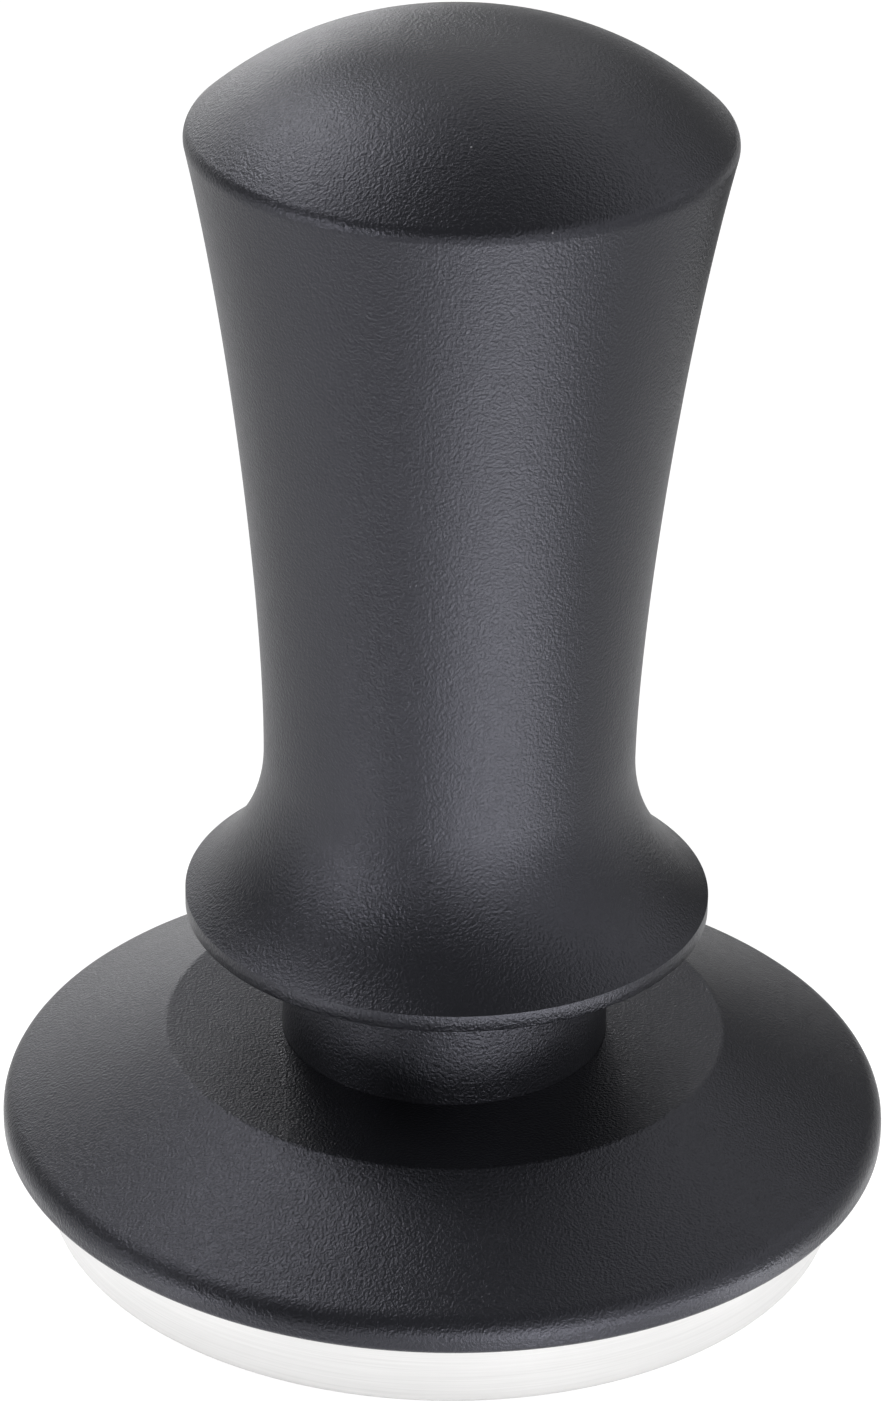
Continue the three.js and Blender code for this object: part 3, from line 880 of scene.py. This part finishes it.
def make_upper_seat():
    """The plate on the main spring, with a spigot that centres the coils."""
    outer_r, spigot_bottom, top = box_mm("upper_spring_seat")
    seat = box_mm("main_spring")[2] + GAP
    spigot_r = 6.1
    spigot_chamfer = 0.6
    edge = 0.25
    outline = [
        (0, spigot_bottom),
        (spigot_r - spigot_chamfer, spigot_bottom),
        (spigot_r, spigot_bottom + spigot_chamfer),
        (spigot_r, seat - edge),
        (spigot_r + edge, seat),
        (outer_r - edge, seat),
        (outer_r, seat + edge),
        (outer_r, top - edge),
        (outer_r - edge, top),
        (0, top),
    ]
    dress(turned("spring_cap", outline, closed=False), "handle", "satin_steel", "upper_spring_seat")


def make_nut():
    """The nut that closes the handle from below, with two slots for a pin spanner."""
    inner_r = BUSH_R + 2 * GAP
    edge = 0.3
    slot_width = 2.4
    slot_depth = 1.6
    past_both_sides = 4 * NUT_OUTER_R
    outline = [
        (inner_r, NUT_BOTTOM),
        (NUT_OUTER_R - edge, NUT_BOTTOM),
        *rungs(NUT_OUTER_R, NUT_BOTTOM + edge, NUT_TOP - edge),
        (NUT_OUTER_R - edge, NUT_TOP),
        (inner_r, NUT_TOP),
    ]
    piece = turned("slotted_nut", outline)
    cut_thread(piece, NUT_OUTER_R, NUT_BOTTOM, NUT_TOP, FINE_PITCH, FINE_DEPTH)
    cut(piece, [block((past_both_sides, slot_width, 2 * slot_depth), (0, 0, NUT_BOTTOM))])
    dress(piece, "handle", "satin_steel", "retaining_nut")


def make_seal():
    """A wiper seal with two lips on the post."""
    lip_r = POST_R + GAP
    back = 0.45  # how far the seal stands back beside a lip
    lip_h = 0.35
    valley = 0.2  # half the height of the flat between the lips
    edge = 0.1
    middle = (SEAL_BOTTOM + SEAL_TOP) / 2
    outline = [
        (SEAL_R - edge, SEAL_BOTTOM),
        (SEAL_R, SEAL_BOTTOM + edge),
        (SEAL_R, SEAL_TOP - edge),
        (SEAL_R - edge, SEAL_TOP),
        (lip_r + back, SEAL_TOP),
        (lip_r, SEAL_TOP - lip_h),
        (lip_r + back, middle + valley),
        (lip_r + back, middle - valley),
        (lip_r, SEAL_BOTTOM + lip_h),
        (lip_r + back, SEAL_BOTTOM),
    ]
    dress(turned("wiper_seal", outline), "handle", "white_polymer", "dust_seal")


make_handle()
make_collar()
make_post()
make_screws()
make_base()
make_spindle()
make_lock_washer()
make_clip()
make_bumper()
make_wear_ring()
make_washer("return_washer", "return_spring_washer", "return_spring_seat", "satin_steel", BORE_R)
make_washer("spring_thrust_washer", "thrust_washer", "main_spring_seat", "satin_steel", BORE_R)
make_washer("shim_lower", "preload_shim_1", "handle", "spring_steel", SHIM_BORE_R, THIN_FILLET)
make_washer("shim_upper", "preload_shim_2", "handle", "spring_steel", SHIM_BORE_R, THIN_FILLET)
make_bush("hub_bush", "hub_guide_bush", "collar", HUB_FLOOR + GAP)
make_bush("handle_bush", "handle_guide_bush", "handle", NUT_TOP + GAP)
make_springs()
make_upper_seat()
make_nut()
make_seal()

# ------------------------------------------------------------------------------ camera, floor and lights

# Distances are in metres from here on, angles in degrees and the lens in millimetres.
CAMERA_DISTANCE = 0.394
CAMERA_ELEVATION = 27.034
CAMERA_ROLL = 1.098
CAMERA_AIM = Vector((-0.00061, 0, 0.04029))
CAMERA_LENS = 141.43
FLOOR_SIZE = 3.0
FLOOR_GAP = 0.02 * MM  # keeps the floor off the base's bottom face
PANEL_Z = 0.0015
LIGHT_AIM = Vector((0, 0, 0.045))


def make_camera():
    data = bpy.data.cameras.new("camera")
    data.lens = CAMERA_LENS
    data.clip_start = 0.01
    data.clip_end = 10
    camera = bpy.data.objects.new("camera", data)
    bpy.context.scene.collection.objects.link(camera)
    tilt = Matrix.Rotation(math.radians(90 - CAMERA_ELEVATION), 4, "X")
    roll = Matrix.Rotation(math.radians(CAMERA_ROLL), 4, "Z")
    look = tilt @ roll
    camera.matrix_world = Matrix.Translation(CAMERA_AIM + look.col[2].xyz * CAMERA_DISTANCE) @ look
    bpy.context.scene.camera = camera


def direction(azimuth, elevation):
    """A unit vector. Azimuth 0 is the camera's side, and positive goes to the camera's right."""
    a, e = math.radians(azimuth), math.radians(elevation)
    return Vector((math.sin(a) * math.cos(e), -math.cos(a) * math.cos(e), math.sin(e)))


def make_floor():
    """A pale floor, overexposed to white where the camera sees it, as on a light table."""
    mesh = bpy.data.meshes.new("floor")
    h = FLOOR_SIZE / 2
    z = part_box("tamper_base")[0].z - FLOOR_GAP
    mesh.from_pydata([(-h, -h, z), (h, -h, z), (h, h, z), (-h, h, z)], [], [(0, 1, 2, 3)])
    floor = bpy.data.objects.new("floor", mesh)
    bpy.context.scene.collection.objects.link(floor)
    n = Nodes("floor")
    n.set(Roughness=0.9, Emission_Color=(1, 1, 1, 1))
    seen = n.add("ShaderNodeLightPath").outputs["Is Camera Ray"]
    n.join(n.between(seen, 0.85, 0.3), n.shader.inputs["Base Color"])
    n.join(n.between(seen, 0.17, 0.85), n.shader.inputs["Emission Strength"])
    mesh.materials.append(n.material)


def make_light(name, azimuth, elevation, distance, width, height, power, aim=LIGHT_AIM, shape="RECTANGLE"):
    """An area light that faces its aim from a distance, hidden from the camera."""
    data = bpy.data.lights.new(name, "AREA")
    data.shape = shape
    data.size = width
    data.size_y = height
    data.energy = power
    light = bpy.data.objects.new(name, data)
    bpy.context.scene.collection.objects.link(light)
    out = direction(azimuth, elevation)
    light.location = aim + out * distance
    light.rotation_euler = out.to_track_quat("Z", "Y").to_euler()
    light.visible_camera = False


def make_floor_panel(name, x, y, width, depth, power, shape="RECTANGLE"):
    """A small light panel just above the floor."""
    make_light(name, 0, 90, PANEL_Z, width, depth, power, aim=Vector((x, y, 0)), shape=shape)


def make_flag(name, azimuth, distance, width, height):
    """A black card that stands on the floor, hidden from the camera, and darkens reflections."""
    out = direction(azimuth, 0)
    foot = out * distance
    half = Vector((-out.y, out.x, 0)) * (width / 2)
    rise = Vector((0, 0, height))
    mesh = bpy.data.meshes.new(name)
    mesh.from_pydata([foot - half, foot + half, foot + half + rise, foot - half + rise], [], [(0, 1, 2, 3)])
    flag = bpy.data.objects.new(name, mesh)
    bpy.context.scene.collection.objects.link(flag)
    n = Nodes(name)
    n.set(Base_Color=(0.01, 0.01, 0.01, 1), Roughness=1.0)
    mesh.materials.append(n.material)
    flag.visible_camera = False


def make_world(strength):
    """A dim, even room, white where the camera sees it past the floor."""
    world = bpy.data.worlds.new("studio")
    world.use_nodes = True
    tree = world.node_tree
    background = tree.nodes["Background"]
    background.inputs["Color"].default_value = (1, 1, 1, 1)
    seen = tree.nodes.new("ShaderNodeLightPath").outputs["Is Camera Ray"]
    level = tree.nodes.new("ShaderNodeMapRange")
    level.inputs["To Min"].default_value = strength
    level.inputs["To Max"].default_value = 1.0
    tree.links.new(seen, level.inputs["Value"])
    tree.links.new(level.outputs["Result"], background.inputs["Strength"])
    bpy.context.scene.world = world


make_camera()
make_floor()
make_world(0.18)
make_light("back_middle", 180, 30, 1.0, 0.6, 0.4, 0.45)
make_light("back_low_left", -170, 5, 1.0, 0.25, 0.15, 0.42)
make_light("back_left", -150, 12, 1.0, 0.5, 0.35, 0.85)
make_light("back_left_top", -141, 64, 1.0, 0.28, 0.28, 0.6)
make_light("collar_patch", -127, 54, 0.17, 0.055, 0.055, 0.05)
make_light("left_high", -92, 50, 0.9, 0.3, 0.3, 1.1)
make_light("left_low", -49, 3, 0.7, 0.15, 0.14, 0.92)
make_light("left_side", -72, 8, 0.7, 0.18, 0.2, 0.32)
make_light("right", 60, 20, 0.9, 0.6, 0.5, 0.98)
make_light("right_back", 105, 30, 0.9, 0.5, 0.6, 0.85)
make_light("front", 8, 0, 0.5, 0.10, 0.085, 0.12)
make_light("right_front", 28, 0, 0.5, 0.12, 0.085, 0.19)
make_light("back_right", 145, 52, 0.9, 0.6, 0.6, 0.66)
make_floor_panel("panel_front", 0.004, -0.082, 0.045, 0.045, 0.021)
make_floor_panel("panel_right", 0.045, -0.070, 0.035, 0.045, 0.022)
make_floor_panel("panel_post_right", 0.021, -0.053, 0.026, 0.012, 0.009)
make_floor_panel("panel_post_left", -0.042, -0.040, 0.018, 0.014, 0.006)
make_floor_panel("panel_near_right", 0.043, -0.035, 0.02, 0.03, 0.009)
make_floor_panel("panel_left", -0.10, -0.03, 0.07, 0.07, 0.008)
make_floor_panel("panel_base", 0, 0, 0.083, 0.083, 0.0135, shape="DISK")
make_flag("flag_left", -34, 0.072, 0.04, 0.028)
make_flag("flag_back", 140, 0.15, 0.10, 0.025)
bpy.context.scene.view_settings.view_transform = "Standard"
